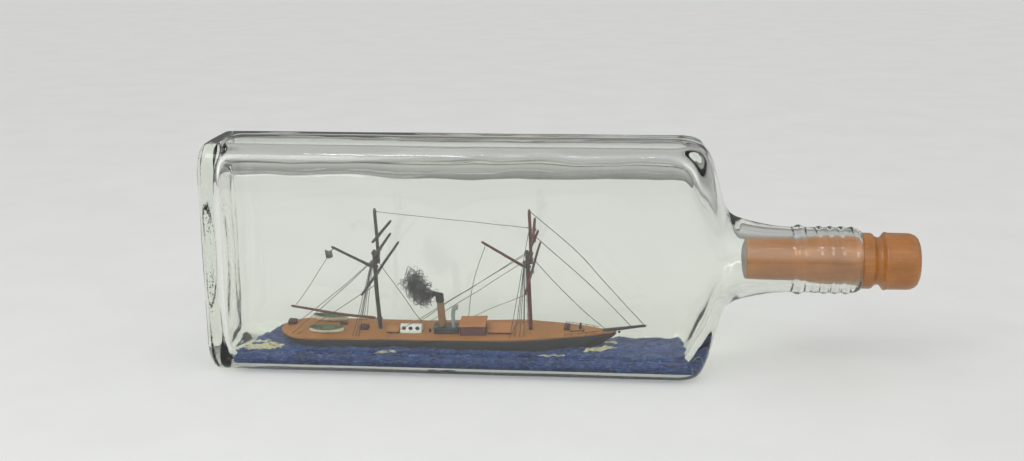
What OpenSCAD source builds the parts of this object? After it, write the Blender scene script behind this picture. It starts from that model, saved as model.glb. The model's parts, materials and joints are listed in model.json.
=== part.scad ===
// Ship in a bottle: a two-masted steamship on a putty sea inside a flat
// spirits flask that lies on its narrow side and is closed by a turned stopper.
// Frame: +X from the flask's base to its stopper, +Z up, front face towards -Y.
// The origin is the centre of the overall box, on the surface the flask lies on.

/* [Bottle] */
// Overall length, flask base to stopper end
total_len = 288; // [286:1:290]
// Height of the lying flask
bottle_h = 96; // [94:1:98]
// Depth of the lying flask
bottle_d = 42; // [41:0.5:43]
// Length of the flask without its stopper
glass_len = 264.8; // [264:0.2:265]
// Wall thickness
wall = 3.5; // [3.3:0.1:3.7]
// Outer radius of the neck
neck_r = 13.2; // [13:0.1:13.4]
// Radius of the neck's bore
bore_r = 10; // [9.9:0.05:10.1]

/* [Stopper] */
// Running clearance of the stopper's plug and of every pin
fit_gap = 0.06; // [0.04:0.01:0.08]
// Radius of the stopper's inner end
shank_r = 8.4; // [8:0.1:9]
// Radius of the stopper's head
head_r = 11.6; // [11:0.1:12]

/* [Sea] */
// Height of the sea's surface above the table
sea_z = 9; // [8.5:0.1:9.5]

/* [Ship] */
// Length of the hull
hull_len = 141; // [140:0.5:142]
// Beam of the hull
beam = 20; // [19:0.5:20.5]
// Depth of the hull under the deck
hull_depth = 9; // [8.5:0.1:9.5]
// Heel towards the front face, in degrees
heel = 7; // [6:0.5:7]
// Trim, bow up, in degrees
trim = 1.1; // [0.9:0.1:1.2]

/* [Spars] */
// Radius of a lower mast
mast_r = 0.8; // [0.75:0.05:0.85]
// Radius of a topmast
topmast_r = 0.6; // [0.55:0.05:0.65]
// Radius of a yard
yard_r = 0.55; // [0.5:0.05:0.6]
// Diameter of a rigging thread
thread_d = 0.24; // [0.2:0.02:0.3]

/* [Hidden] */
$fn = 48;

base_x = -total_len / 2;
lip_x = base_x + glass_len;
head_x = total_len / 2;
axis_z = bottle_h / 2;
big = 400;

// Where the ship's own frame stands: stern of the deck, on the centreline
ship_pos = [-117.3, -0.5, 13.8];
floor_z = wall + 0.9;
deck_t = 0.8;

// Fore-and-aft places of the masts, and heights above the deck
main_x = 42.2;
fore_x = 105.5;
topmast_step = mast_r + topmast_r + 0.15;
top_z = 30.2;
top_t = 0.8;
lower_head_z = 36.1;
pin_r = 0.25;
pin_gap = 0.45;

// Yards: mast place, mast radius, pin height, heading of the upper arm,
// rise of the upper arm, length below the pin, length above the pin
MAIN_LONG = [main_x, mast_r, 26.6, 39, 45, 11.7, 15.3];
MAIN_MIDDLE = [main_x + topmast_step, topmast_r, 36.9, 42, 45, 4.2, 8.1];
MAIN_UPPER = [main_x + topmast_step, topmast_r, 42.9, 34, 41.5, 3.8, 8.2];
FORE_LONG = [fore_x, mast_r, 26.8, 63, 54, 9.8, 13.2];
FORE_MIDDLE = [fore_x + topmast_step, topmast_r, 40.6, 60, 44.5, 3.6, 4.9];
FORE_UPPER = [fore_x + topmast_step, topmast_r, 45.2, 82, 54.5, 4.1, 4.7];
YARDS = [MAIN_LONG, MAIN_MIDDLE, MAIN_UPPER, FORE_LONG, FORE_MIDDLE, FORE_UPPER];

// ---------- shared shapes ----------

module in_ship() {
    translate(ship_pos) rotate([heel, 0, 0]) rotate([0, -trim, 0]) children();
}

module box(lo, hi) {
    translate(lo) cube(hi - lo);
}

module along_x(x) {
    translate([x, 0, axis_z]) rotate([0, 90, 0]) children();
}

// A straight round rod from a to b
module rod(a, b, r) {
    v = b - a;
    len = norm(v);
    translate(a)
        rotate([0, acos(v[2] / len), atan2(v[1], v[0])])
            cylinder(h = len, r = r, $fn = 24);
}

// A thread: a straight rod, or an eight-sided tube swept along a few points in one upright plane
module thread(points) {
    if (len(points) == 2) rod(points[0], points[1], thread_d / 2);
    else bent_thread(points);
}

function unit(v) = v / norm(v);
function heading(points, i) = unit(points[min(i + 1, len(points) - 1)] - points[max(i - 1, 0)]);
function thread_ring(p, dir) =
    let (u = unit(cross(dir, [0, 1, 0])), v = cross(dir, u))
    [for (a = [0 : 45 : 315]) p + thread_d / 2 * (cos(a) * u + sin(a) * v)];

module bent_thread(points) {
    last = 8 * (len(points) - 1);
    polyhedron(
        [for (i = [0 : len(points) - 1]) each thread_ring(points[i], heading(points, i))],
        concat(
            [[for (k = [7 : -1 : 0]) k], [for (k = [0 : 7]) last + k]],
            [for (i = [0 : len(points) - 2]) for (k = [0 : 7])
                [8 * i + k, 8 * i + (k + 1) % 8, 8 * i + 8 + (k + 1) % 8, 8 * i + 8 + k]]));
}

function ellipse(rx, ry) = [for (a = [0 : 15 : 345]) [rx * cos(a), ry * sin(a)]];
function mirrored(half) = concat(half, [for (i = [len(half) - 1 : -1 : 0]) [half[i][0], -half[i][1]]]);

// Upper half of a flask outline: heel round, shoulder round, then the given end points
function flask_half(x0, half, heel_r, x1, shoulder_r, ends) = concat(
    [for (a = [180 : -15 : 90]) [x0 + heel_r + heel_r * cos(a), half - heel_r + heel_r * sin(a)]],
    [for (a = [90 : -10 : 10]) [x1 + shoulder_r * cos(a), half - shoulder_r + shoulder_r * sin(a)]],
    ends);

// The part that three outlines share: across, from the side and from above
module flask_prisms(section, side, plan) {
    intersection() {
        translate([-big / 2, 0, axis_z]) rotate([90, 0, 90]) linear_extrude(height = big) polygon(section);
        translate([0, 0, axis_z]) rotate([90, 0, 0]) linear_extrude(height = big, center = true) polygon(side);
        linear_extrude(height = big, center = true) polygon(plan);
    }
}

function bevelled(hy, hz, cy, cz) = [[hy, cz - hz], [hy, hz - cz], [hy - cy, hz], [cy - hy, hz],
    [-hy, hz - cz], [-hy, cz - hz], [cy - hy, -hz], [hy - cy, -hz]];

module bottle_outside() {
    flask_prisms(
        bevelled(bottle_d / 2, axis_z, 4, 6),
        mirrored(flask_half(base_x, axis_z, 4, 49, 14, [[66, 24], [67.4, 20.2], [68.6, 18.4]])),
        mirrored(flask_half(base_x, bottle_d / 2, 3, 53, 4, [[68.6, 16.8]])));
    along_x(0) rotate_extrude($fn = 96) polygon([
        [0, 64], [16.6, 64], [16.6, 69], [16.2, 73.9], [14.8, 79.8], [neck_r, 89], [neck_r, 92.5],
        [neck_r + 1.3, 94.2], [neck_r + 1.3, 97.4], [neck_r, 99.2],
        [neck_r, 101.6], [neck_r + 0.8, 102.8], [neck_r + 0.8, 103.8], [neck_r, 105],
        [neck_r, 108.8], [neck_r + 0.8, 110], [neck_r + 0.8, 111], [neck_r, 112.2],
        [neck_r, 114], [neck_r + 0.8, 115], [neck_r + 0.8, 116], [neck_r, 117],
        [neck_r - 0.2, lip_x - 1.2], [neck_r - 1.2, lip_x], [0, lip_x]]);
}

module bottle_inside() {
    flask_prisms(
        bevelled(bottle_d / 2 - wall, axis_z - floor_z, 2.6, 4.6),
        mirrored(flask_half(base_x + 5, axis_z - floor_z, 4, 49, 10.5, [[63, 22], [66, 16.5]])),
        mirrored(flask_half(base_x + 5, bottle_d / 2 - wall, 3, 53, 3, [[66, 13.8]])));
}

module bottle() color([0.8, 0.87, 0.84, 0.35]) difference() {
    bottle_outside();
    bottle_inside();
    along_x(0) rotate_extrude($fn = 96) polygon([
        [0, 60], [13.4, 60], [13.4, 69], [11.2, 72.4], [bore_r, 76], [bore_r, lip_x + 1], [0, lip_x + 1]]);
}

module stopper() color([0.74, 0.46, 0.2]) along_x(0) rotate_extrude($fn = 96) polygon([
    [0, 75], [shank_r - 0.4, 75], [shank_r, 75.4], [shank_r + 0.2, 98],
    [bore_r - fit_gap, 106], [bore_r - fit_gap, lip_x],
    [head_r - 0.4, lip_x], [head_r - 0.3, lip_x + 4.4], [head_r - 1.9, lip_x + 6.4],
    [head_r - 1.9, lip_x + 7.4], [head_r, lip_x + 9.2], [head_r, head_x - 4.2],
    [head_r - 2, head_x - 1.4], [head_r - 4.6, head_x - 0.2], [0, head_x]]);

// ---------- hull and sea ----------

// Half beam of the deck at a distance aft of the stem or ahead of the stern
function half_beam(x) =
    x < 16 ? beam / 2 * sqrt(1 - pow(1 - x / 16, 2.3)) :
    x > 92 ? beam / 2 * (1 - pow((x - 92) / (hull_len - 92), 2.1)) : beam / 2;
deck_half = concat(
    [for (x = [0, 0.4, 1.2, 2.5, 4.5, 7, 10, 13, 16]) [x, half_beam(x)]],
    [for (x = [92 : 7 : hull_len]) [x, half_beam(x)]], [[hull_len, 0]]);

module hull_form() {
    in_ship() intersection() {
        translate([0, 0, -hull_depth]) linear_extrude(height = hull_depth - deck_t)
            polygon(mirrored(deck_half));
        rotate([90, 0, 0]) linear_extrude(height = big, center = true) polygon([
            [-1, 0], [1.2, -3.4], [5, -7], [9, -hull_depth - 1], [126, -hull_depth - 1],
            [133, -8], [138, -6.4], [139.8, -4.6], [140.6, -2.4], [hull_len, 0]]);
    }
}

module ship_hull() color([0.2, 0.2, 0.22]) difference() {
    hull_form();
    box([-big / 2, -big / 2, -big], [big / 2, big / 2, floor_z + 0.4]);
}

module deck() color([0.68, 0.45, 0.26]) in_ship()
    translate([0, 0, -deck_t]) linear_extrude(height = deck_t) polygon(mirrored(deck_half));

module sea() color([0.2, 0.28, 0.5]) difference() {
    intersection() {
        bottle_inside();
        translate([-38.5, 0, 0]) linear_extrude(height = sea_z) polygon(ellipse_box(95, 18, 14));
    }
    hull_form();
}

// A long plan with round ends
function ellipse_box(hx, hy, r) = concat(
    [for (a = [-90 : 15 : 90]) [hx - r + r * cos(a), hy * sin(a)]],
    [for (a = [90 : 15 : 270]) [r - hx + r * cos(a), hy * sin(a)]]);

module foam_patch(x, y, rx, ry, turn, h) {
    translate([x, y, sea_z]) rotate([0, 0, turn]) linear_extrude(height = h) polygon(ellipse(rx, ry));
}

module stern_foam() color([0.78, 0.77, 0.66]) difference() {
    union() {
        foam_patch(-122.5, -9.5, 8.5, 3.4, 18, 0.7);
        foam_patch(-125.5, -3, 4.5, 2, -10, 0.6);
    }
    hull_form();
}

module bow_wave() color([0.76, 0.76, 0.66]) difference() {
    union() {
        foam_patch(17.5, -5.4, 7, 1.7, 24, 1.3);
        foam_patch(20.5, 4.6, 5.5, 1.4, -28, 1.1);
    }
    hull_form();
}

module foam_streaks() color([0.7, 0.72, 0.68]) {
    foam_patch(-71, -13.4, 6, 0.9, 4, 0.5);
    foam_patch(-2, -13, 6.5, 0.9, 3, 0.5);
    foam_patch(-50, 14, 7, 0.9, -3, 0.5);
}

// A low strip along each side of the bow
module bow_rail() color([0.16, 0.13, 0.12]) in_ship() {
    stations = [119.5 : 3 : 134.5];
    for (side = [-1, 1])
        linear_extrude(height = 0.9) polygon(concat(
            [for (x = stations) [x, side * (half_beam(x) - 0.3)]],
            [for (x = [134.5 : -3 : 119.5]) [x, side * (half_beam(x) - 0.7)]]));
}

module bowsprit() color([0.16, 0.15, 0.15]) in_ship() {
    intersection() {
        rod([135, 0, -0.5], [153.8, 0, 2.5], 0.75);
        box([130, -5, 0], [160, 5, 10]);
    }
}

module bowsprit_bead() color([0.08, 0.08, 0.08]) in_ship()
    translate([142.3, 0, -0.65]) sphere(r = 0.6, $fn = 24);

// ---------- masts ----------

module lower_mast(x) {
    translate([x, 0, 0]) cylinder(h = lower_head_z, r = mast_r, $fn = 32);
}

module topmast(x, head_z) {
    translate([x + topmast_step, 0, top_z + top_t]) cylinder(h = head_z - top_z - top_t, r = topmast_r, $fn = 32);
}

module main_lower_mast() color([0.3, 0.24, 0.23]) in_ship() lower_mast(main_x);
module main_topmast() color([0.27, 0.26, 0.25]) in_ship() topmast(main_x, 54.2);
module fore_lower_mast() color([0.4, 0.25, 0.22]) in_ship() lower_mast(fore_x);
module fore_topmast() color([0.42, 0.27, 0.24]) in_ship() topmast(fore_x, 53.4);

// The top that the topmast steps on, and the cap that joins both masts
module mast_caps() color([0.25, 0.2, 0.18]) in_ship() {
    for (x = [main_x, fore_x]) {
        difference() {
            union() {
                translate([x, 0, top_z]) cylinder(h = top_t, r = 1.75);
                box([x, -0.65, top_z], [x + topmast_step + topmast_r, 0.65, top_z + top_t]);
            }
            translate([x, 0, top_z - 1]) cylinder(h = 3, r = mast_r, $fn = 32);
        }
        difference() {
            union() {
                translate([x, 0, 34.4]) cylinder(h = top_t, r = mast_r + 0.4);
                translate([x + topmast_step, 0, 34.4]) cylinder(h = top_t, r = topmast_r + 0.4);
                box([x, -0.9, 34.4], [x + topmast_step, 0.9, 34.4 + top_t]);
            }
            translate([x, 0, 33]) cylinder(h = 3, r = mast_r, $fn = 32);
            translate([x + topmast_step, 0, 33]) cylinder(h = 3, r = topmast_r, $fn = 32);
        }
    }
}

// ---------- yards ----------

// Direction of a yard's pin, and the yard's centre beside the mast
function pin_dir(y) = [cos(y[3] - 90), sin(y[3] - 90), 0];
function yard_dir(y) = [cos(y[3]) * cos(y[4]), sin(y[3]) * cos(y[4]), sin(y[4])];
function yard_at(y) = [y[0], 0, y[2]] + (y[1] + yard_r + pin_gap) * pin_dir(y);

module yard(y) {
    difference() {
        rod(yard_at(y) - y[5] * yard_dir(y), yard_at(y) + y[6] * yard_dir(y), yard_r);
        rod(yard_at(y) - 2 * pin_dir(y), yard_at(y) + 2 * pin_dir(y), pin_r + fit_gap);
    }
}

// A pin starts in the mast's surface, passes the yard and ends in a head
module yard_pin(y) {
    difference() {
        union() {
            rod([y[0], 0, y[2]], yard_at(y) + (yard_r + 0.25) * pin_dir(y), pin_r);
            rod(yard_at(y) + (yard_r + 0.12) * pin_dir(y), yard_at(y) + (yard_r + 0.4) * pin_dir(y), 0.45);
        }
        translate([y[0], 0, y[2] - 2]) cylinder(h = 4, r = y[1], $fn = 32);
    }
}

module yard_pins() color([0.5, 0.45, 0.3]) in_ship() for (y = YARDS) yard_pin(y);
module main_long_yard() color([0.25, 0.24, 0.23]) in_ship() yard(MAIN_LONG);
module main_middle_yard() color([0.25, 0.24, 0.23]) in_ship() yard(MAIN_MIDDLE);
module main_upper_yard() color([0.22, 0.21, 0.2]) in_ship() yard(MAIN_UPPER);
module fore_long_yard() color([0.42, 0.27, 0.24]) in_ship() yard(FORE_LONG);
module fore_middle_yard() color([0.38, 0.28, 0.25]) in_ship() yard(FORE_MIDDLE);
module fore_upper_yard() color([0.45, 0.27, 0.25]) in_ship() yard(FORE_UPPER);

// ---------- gaffs and boom ----------

ring_t = 0.8;
ring_r = mast_r + fit_gap + 0.45;

// A spar that ends in a ring round the lower mast
module ringed_spar(x, ring_z, outer, r) {
    difference() {
        union() {
            translate([x, 0, ring_z]) cylinder(h = ring_t, r = ring_r);
            rod([x - mast_r - 0.3, 0, ring_z + ring_t / 2], outer, r);
        }
        translate([x, 0, ring_z - 4]) cylinder(h = 8, r = mast_r + fit_gap, $fn = 32);
    }
}

main_peak = [24.5, 0, 37.6];
fore_peak = [87, 0, 39.5];
boom_end = [4.8, 0, 10.6];
module main_gaff() color([0.25, 0.23, 0.21]) in_ship() ringed_spar(main_x, 28.2, main_peak, yard_r);
module main_boom() color([0.38, 0.27, 0.25]) in_ship() ringed_spar(main_x, 4.7, boom_end, yard_r);
module fore_gaff() color([0.3, 0.23, 0.2]) in_ship() ringed_spar(fore_x, 28.3, fore_peak, yard_r);

// ---------- deck fittings ----------

casing_h = 2.4;
lid_t = 0.6;
funnel_foot = [69.4, -1.9, casing_h + lid_t];
funnel_top = [68.8, -1.9, 13.8];
cap_len = 3.2;
cap_top = funnel_top + cap_len * unit(funnel_top - funnel_foot);

module funnel() color([0.5, 0.36, 0.22]) in_ship() intersection() {
    rod(funnel_foot - [0, 0, 1], funnel_top, 1.6);
    box([60, -10, funnel_foot[2]], [80, 10, 30]);
}

module funnel_cap() color([0.1, 0.1, 0.1]) in_ship() rod(funnel_top, cap_top, 1.65);

module smoke() color([0.25, 0.26, 0.27]) in_ship() {
    hull() {
        translate([58.7, -1.9, 22.4]) sphere(r = 6.1, $fn = 28);
        translate([61, -1.9, 16.8]) sphere(r = 5.3, $fn = 28);
    }
    hull() {
        translate([62.6, -1.9, 21]) sphere(r = 2.6, $fn = 24);
        translate(cap_top + [-0.4, 0, 1.4]) sphere(r = 0.9, $fn = 24);
    }
}

module funnel_casing() color([0.24, 0.27, 0.31]) in_ship()
    box([65.9, -4.8, 0], [76, 1.2, casing_h]);
module casing_lid() color([0.62, 0.4, 0.24]) in_ship()
    box([65.6, -5, casing_h], [76.2, 1.4, casing_h + lid_t]);

vent_foot = [74.3, -3.5, casing_h + lid_t];
vent_h = 8.3;
module ventilator() color([0.45, 0.52, 0.55]) in_ship() translate(vent_foot) {
    cylinder(h = vent_h, r = 0.7, $fn = 24);
    translate([0, 0, vent_h]) sphere(r = 0.95, $fn = 24);
    rod([0, 0, vent_h], [1.5, 0, vent_h + 0.1], 0.95);
}

house_h = 4.4;
module deckhouse_walls() color([0.38, 0.25, 0.29]) in_ship() box([77, -6.6, 0], [87.4, 2.9, house_h]);
module deckhouse_roof() color([0.72, 0.44, 0.24]) in_ship() box([76.6, -6.9, house_h], [87.8, 3.2, house_h + 0.6]);

module main_hatch_coaming() color([0.3, 0.2, 0.2]) in_ship() box([45.8, -5, 0], [50.9, 0.4, 0.9]);
module main_hatch_lid() color([0.65, 0.42, 0.28]) in_ship() box([45.5, -5.3, 0.9], [51.1, 0.7, 1.4]);
module fore_hatch_coaming() color([0.27, 0.25, 0.22]) in_ship() box([88.3, -4.4, 0], [98.2, 4.5, 0.8]);
module fore_hatch_lid() color([0.72, 0.44, 0.23]) in_ship() box([88.1, -4.7, 0.8], [98.4, 4.8, 1.3]);

module small_hatches() color([0.36, 0.25, 0.27]) in_ship() {
    box([33.7, -2.5, 0], [37.2, 1.3, 1.5]);
    box([24.6, 2.2, 0], [27.6, 4, 1]);
    box([119.4, -0.6, 0], [121.9, 5, 0.9]);
}

module stern_locker() color([0.36, 0.27, 0.28]) in_ship() box([1.9, 1.8, 0], [5.3, 5, 1.8]);

skylight_slope = [[-4.6, 0], [-4.4, 0.9], [-2.4, 3.1], [-0.4, 3.1], [0.4, 1.6], [0.4, 0]];
module skylight() color([0.72, 0.75, 0.74]) in_ship()
    translate([51.6, 0, 0]) rotate([90, 0, 90]) linear_extrude(height = 8.8) polygon(skylight_slope);

module portholes() color([0.06, 0.06, 0.07]) in_ship()
    for (x = [53.2, 56, 58.8]) {
        lift = atan2(3.1 - 0.9, -2.4 + 4.4);
        translate([x, -3.4, 2]) rotate([lift, 0, 0]) cylinder(h = 0.3, r = 0.6, $fn = 24);
    }

boat_l = 15;
boat_w = 4.8;
function boat_plan(l, w) = concat(
    [for (t = [-1 : 0.125 : 1]) [t * l / 2, w / 2 * (1 - pow(abs(t), 2.4))]],
    [for (t = [0.875 : -0.125 : -0.875]) [t * l / 2, -w / 2 * (1 - pow(abs(t), 2.4))]]);

module lifeboat(x, y) {
    translate([x, y, 0]) difference() {
        linear_extrude(height = 2.5) polygon(boat_plan(boat_l, boat_w));
        translate([0, 0, 1]) linear_extrude(height = 3) polygon(boat_plan(boat_l - 1.4, boat_w - 0.9));
    }
}

near_boat = [20.6, -5.4];
far_boat = [19.8, 6.9];
module near_lifeboat() color([0.45, 0.5, 0.4]) in_ship() lifeboat(near_boat[0], near_boat[1]);
module far_lifeboat() color([0.3, 0.4, 0.32]) in_ship() lifeboat(far_boat[0], far_boat[1]);
module boat_thwarts() color([0.45, 0.3, 0.2]) in_ship()
    for (boat = [near_boat, far_boat])
        for (dx = [-2.6, 2.6])
            box([boat[0] + dx - 0.6, boat[1] - 1.6, 1.6], [boat[0] + dx + 0.6, boat[1] + 1.6, 2]);

module windlass() color([0.13, 0.13, 0.14]) in_ship() {
    rod([126.4, 0.3, 1], [126.4, 3.8, 1], 0.6);
    for (y = [0.6, 3.1]) box([125.8, y, 0], [127, y + 0.4, 1.9]);
}

module anchor() color([0.13, 0.13, 0.14]) in_ship() {
    rod([122.6, -1.8, 0.22], [127.6, -1.2, 0.22], 0.22);
    rod([127.4, -2.5, 0.22], [127.8, 0, 0.22], 0.22);
    rod([122.9, -2.6, 0.22], [122.7, -1, 0.22], 0.18);
}

module bollard() color([0.08, 0.08, 0.08]) in_ship() translate([63.8, -2.4, 0]) {
    cylinder(h = 1, r = 0.4, $fn = 24);
    translate([0, 0, 1]) sphere(r = 0.5, $fn = 24);
}

// ---------- rigging ----------

// Foot of a thread on the deck, on the far side (1) or the near side (-1)
function foot(x, y, side) = [x, side * y, 0];
function mirror_y(p) = [p[0], -p[1], p[2]];

module triatic_stay() color([0.45, 0.44, 0.4]) in_ship()
    thread([[main_x + topmast_step + topmast_r, 0, 52.8], [fore_x + topmast_step - topmast_r, 0, 45.8]]);

module headstays() color([0.3, 0.28, 0.26]) in_ship() {
    x = fore_x + topmast_step + topmast_r;
    thread([[x, 0, 52.4], [124.4, 0, 36.8], [137, 0, 21.8], [152.6, 0, 3.1]]);
    thread([[x - 0.3, -0.45, 44.1], [130.2, -0.2, 21.4], [147.2, 0, 2.3]]);
    thread([[fore_x + topmast_step + topmast_r, 0, 32.6], [121.5, 0, 16], [136.6, 0, 0.6]]);
}

module mainstay() color([0.3, 0.28, 0.26]) in_ship()
    thread([top_rim(main_x, 70, 1), [58.5, 8.8, 0]]);

// A point just outside the rim of a mast's top, at an angle from dead ahead
function top_rim(x, angle, side) = [x + 1.89 * cos(angle), side * 1.89 * sin(angle), top_z + top_t / 2];

module shrouds(x, feet, y) {
    for (i = [0 : len(feet) - 1])
        for (side = [-1, 1])
            thread([top_rim(x, 136 - 9 * i, side), foot(feet[i], y, side)]);
}

module main_shrouds() color([0.35, 0.3, 0.28]) in_ship() shrouds(main_x, [32.2, 33.4, 34.6], 8);
module fore_shrouds() color([0.4, 0.22, 0.18]) in_ship() shrouds(fore_x, [99.6, 101.6, 103.4], 6.8);

module backstays() color([0.4, 0.38, 0.34]) in_ship() {
    thread([[fore_x + topmast_step - 0.3, -topmast_r, 45.4], foot(97.6, 7.7, -1)]);
    for (side = [-1, 1]) thread([top_rim(main_x, 150, side), foot(5.8, 6, side)]);
    thread([[main_x - 0.5, -mast_r + 0.1, 20.5], foot(8.4, 7, -1)]);
}

module braces() color([0.45, 0.44, 0.4]) in_ship() {
    thread([[fore_x, 1.2, 34.8], foot(57.6, 8.6, 1)]);
    thread([[fore_x, -1.2, 34.8], foot(46.4, 8.8, -1)]);
    thread([top_rim(fore_x, 150, 1), foot(62, 8.8, 1)]);
    thread([[fore_x - 0.6, 0.6, 16.2], foot(76, 8.4, 1)]);
}

module topping_lift() color([0.45, 0.44, 0.4]) in_ship() {
    thread([boom_end + [2.4, 0, 0.65], main_peak + [0.6, 0, -yard_r - 0.4]]);
}

module fore_vang() color([0.45, 0.44, 0.4]) in_ship()
    thread([fore_peak + [1.4, 0, -yard_r - 1.3], [83.6, 0.8, 24.6], [81, 1.6, 14], [79.6, 2.2, house_h + 0.6]]);

module flag() color([0.4, 0.4, 0.4]) in_ship()
    box(main_peak + [-3.2, -0.5, -5.4], main_peak + [0.4, -0.25, -0.9]);

bottle();
stopper();
sea();
stern_foam();
bow_wave();
foam_streaks();
ship_hull();
deck();
bow_rail();
bowsprit();
bowsprit_bead();
main_lower_mast();
main_topmast();
fore_lower_mast();
fore_topmast();
mast_caps();
yard_pins();
main_long_yard();
main_middle_yard();
main_upper_yard();
fore_long_yard();
fore_middle_yard();
fore_upper_yard();
main_gaff();
main_boom();
fore_gaff();
funnel();
funnel_cap();
smoke();
funnel_casing();
casing_lid();
ventilator();
deckhouse_walls();
deckhouse_roof();
main_hatch_coaming();
main_hatch_lid();
fore_hatch_coaming();
fore_hatch_lid();
small_hatches();
stern_locker();
skylight();
portholes();
near_lifeboat();
far_lifeboat();
boat_thwarts();
windlass();
anchor();
bollard();
triatic_stay();
headstays();
mainstay();
main_shrouds();
fore_shrouds();
backstays();
braces();
topping_lift();
fore_vang();
flag();
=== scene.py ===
"""Looks of the ship in a bottle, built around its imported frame.

Shapes are written in millimetres and made in metres. The camera and the lights are placed in metres.
"""
import json
import math
import random

import bmesh
import bpy
import numpy as np
from mathutils import Matrix, Vector, noise


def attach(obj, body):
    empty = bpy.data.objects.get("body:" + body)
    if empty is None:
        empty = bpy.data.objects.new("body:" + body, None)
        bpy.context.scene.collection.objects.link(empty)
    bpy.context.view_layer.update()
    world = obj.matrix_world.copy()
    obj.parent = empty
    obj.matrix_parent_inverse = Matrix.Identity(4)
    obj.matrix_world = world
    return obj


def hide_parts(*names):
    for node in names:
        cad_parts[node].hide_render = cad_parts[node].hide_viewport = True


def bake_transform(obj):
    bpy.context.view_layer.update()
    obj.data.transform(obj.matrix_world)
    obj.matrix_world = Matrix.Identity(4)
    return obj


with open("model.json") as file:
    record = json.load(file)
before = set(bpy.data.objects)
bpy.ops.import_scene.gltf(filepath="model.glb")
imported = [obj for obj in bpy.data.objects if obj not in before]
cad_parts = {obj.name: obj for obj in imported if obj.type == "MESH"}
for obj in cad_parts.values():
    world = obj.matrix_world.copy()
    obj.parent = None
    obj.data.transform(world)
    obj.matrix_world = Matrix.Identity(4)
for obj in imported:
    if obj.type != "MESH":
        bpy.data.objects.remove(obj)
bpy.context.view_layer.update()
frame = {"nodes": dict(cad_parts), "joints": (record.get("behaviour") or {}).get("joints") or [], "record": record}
MM = 0.001
# The default view transform would wash out the colours named below.
bpy.context.scene.view_settings.view_transform = "Standard"

# ---------------------------------------------------------------- camera

CAMERA_AT = (0.03476, -0.52752, 0.19267)
CAMERA_YAW, CAMERA_PITCH, CAMERA_ROLL = (math.radians(a) for a in (-5.85, 14.25, -0.46))
FOCAL_IN_WIDTHS = 1.3034


def make_camera():
    data = bpy.data.cameras.new("camera")
    data.sensor_width = 36
    data.lens = FOCAL_IN_WIDTHS * data.sensor_width
    data.clip_start = 0.02
    forward = Vector((math.sin(CAMERA_YAW) * math.cos(CAMERA_PITCH),
                      math.cos(CAMERA_YAW) * math.cos(CAMERA_PITCH), -math.sin(CAMERA_PITCH)))
    level = Vector((math.cos(CAMERA_YAW), -math.sin(CAMERA_YAW), 0))
    over = level.cross(forward)
    right = math.cos(CAMERA_ROLL) * level + math.sin(CAMERA_ROLL) * over
    up = -math.sin(CAMERA_ROLL) * level + math.cos(CAMERA_ROLL) * over
    turn = Matrix((right, up, -forward)).transposed()
    camera = bpy.data.objects.new("camera", data)
    camera.matrix_world = Matrix.Translation(CAMERA_AT) @ turn.to_4x4()
    bpy.context.scene.collection.objects.link(camera)
    bpy.context.scene.camera = camera


make_camera()

# ---------------------------------------------------------------- materials


def rgba(value):
    """A colour or a single number as the four numbers a colour socket takes."""
    return (*value, 1) if hasattr(value, "__len__") else (value, value, value, 1)


def set_inputs(node, values):
    for name, value in values.items():
        node.inputs[name].default_value = value


class Shader:
    """A material whose nodes are wired by short calls. Coordinates are the object's own, in millimetres."""

    def __init__(self, name):
        self.material = bpy.data.materials.new(name)
        self.material.use_nodes = True
        self.tree = self.material.node_tree
        self.bsdf = self.tree.nodes["Principled BSDF"]
        self.coords = self.node("ShaderNodeTexCoord").outputs["Object"]

    def node(self, kind, **settings):
        made = self.tree.nodes.new(kind)
        for key, value in settings.items():
            setattr(made, key, value)
        return made

    def link(self, source, target):
        self.tree.links.new(source, target)

    def scaled(self, scale=(1, 1, 1)):
        mapping = self.node("ShaderNodeMapping")
        mapping.inputs["Scale"].default_value = [1000 * s for s in scale]
        self.link(self.coords, mapping.inputs["Vector"])
        return mapping.outputs["Vector"]

    def noise(self, scale, detail=4, rough=0.55, stretch=(1, 1, 1), distort=0):
        made = self.node("ShaderNodeTexNoise")
        set_inputs(made, {"Scale": scale, "Detail": detail, "Roughness": rough, "Distortion": distort})
        self.link(self.scaled(stretch), made.inputs["Vector"])
        return made.outputs["Fac"]

    def ramp(self, fac, *stops):
        made = self.node("ShaderNodeValToRGB")
        ramp = made.color_ramp
        while len(ramp.elements) < len(stops):
            ramp.elements.new(0.5)
        for element, (place, color) in zip(ramp.elements, stops):
            element.position = place
            element.color = rgba(color)
        self.link(fac, made.inputs["Fac"])
        return made.outputs["Color"]

    def mix(self, fac, a, b, blend="MIX"):
        made = self.node("ShaderNodeMix", data_type="RGBA", blend_type=blend)
        for socket, value in ((made.inputs[0], fac), (made.inputs[6], a), (made.inputs[7], b)):
            if hasattr(value, "is_linked"):
                self.link(value, socket)
            else:
                socket.default_value = rgba(value) if socket.type == "RGBA" else value
        return made.outputs[2]

    def bump(self, height, strength, distance_mm):
        made = self.node("ShaderNodeBump")
        set_inputs(made, {"Strength": strength, "Distance": distance_mm * MM})
        self.link(height, made.inputs["Height"])
        self.link(made.outputs["Normal"], self.bsdf.inputs["Normal"])

    def finish(self, color=None, rough=None, **numbers):
        if color is not None:
            self.link(color, self.bsdf.inputs["Base Color"])
        if rough is not None:
            self.link(rough, self.bsdf.inputs["Roughness"])
        set_inputs(self.bsdf, {name.replace("_", " "): value for name, value in numbers.items()})
        return self.material


def linear(r, g, b):
    """A colour given as 0 to 255 in sRGB, as the shader's linear value."""
    return tuple(((c / 255 + 0.055) / 1.055) ** 2.4 if c > 10 else c / 3295 for c in (r, g, b))


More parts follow.
